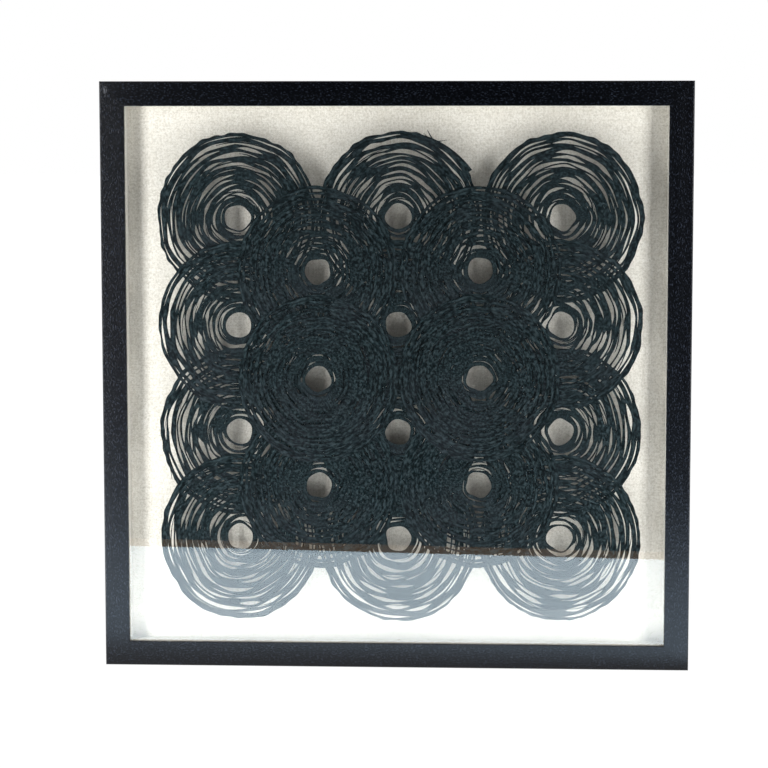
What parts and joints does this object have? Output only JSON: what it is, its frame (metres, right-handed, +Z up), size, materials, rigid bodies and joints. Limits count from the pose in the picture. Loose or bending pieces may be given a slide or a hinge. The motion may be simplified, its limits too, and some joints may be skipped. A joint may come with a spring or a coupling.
{
  "type": "framed paper wall art",
  "caption": "Square black shadow-box frame with a glass front, holding overlapping cut paper discs that float over a linen backing.",
  "frame": {"origin": "under the middle of the bottom rail, half way from the front of the frame to the back of its bumpers", "axes": "+Z up the frame, front towards -Y, +X to the right as seen from the front"},
  "size_m": [0.6, 0.0446, 0.6],
  "materials": {
    "black_wood": "satin",
    "clear_glass": "gloss",
    "cut_paper": "matte",
    "linen": "matte",
    "pale_card": "matte",
    "grey_board": "matte",
    "hardboard": "matte",
    "dark_foam": "matte",
    "steel": "satin",
    "rubber": "matte"
  },
  "bodies": {
    "root": {"frame_rail_top": "black_wood", "frame_rail_bottom": "black_wood", "frame_rail_left": "black_wood", "frame_rail_right": "black_wood", "paper_disc_row1_left": "cut_paper", "paper_disc_row1_middle": "cut_paper", "paper_disc_row1_right": "cut_paper", "paper_disc_row2_left": "cut_paper", "paper_disc_row2_right": "cut_paper", "paper_disc_row3_left": "cut_paper", "paper_disc_row3_middle": "cut_paper", "paper_disc_row3_right": "cut_paper", "paper_disc_row4_left": "cut_paper", "paper_disc_row4_right": "cut_paper", "paper_disc_row5_left": "cut_paper", "paper_disc_row5_middle": "cut_paper", "paper_disc_row5_right": "cut_paper", "paper_disc_row6_left": "cut_paper", "paper_disc_row6_right": "cut_paper", "paper_disc_row7_left": "cut_paper", "paper_disc_row7_middle": "cut_paper", "paper_disc_row7_right": "cut_paper", "spacer_top": "pale_card", "spacer_bottom": "pale_card", "spacer_left": "pale_card", "spacer_right": "pale_card", "glass_pane": "clear_glass", "linen_cover": "linen", "mount_board": "grey_board", "back_board": "hardboard", "foam_pads": "dark_foam", "corner_nails": "steel", "retaining_points": "steel", "hanger_nails": "steel", "sawtooth_hanger_left": "steel", "sawtooth_hanger_right": "steel", "wall_bumpers": "rubber"}
  },
  "joints": []
}
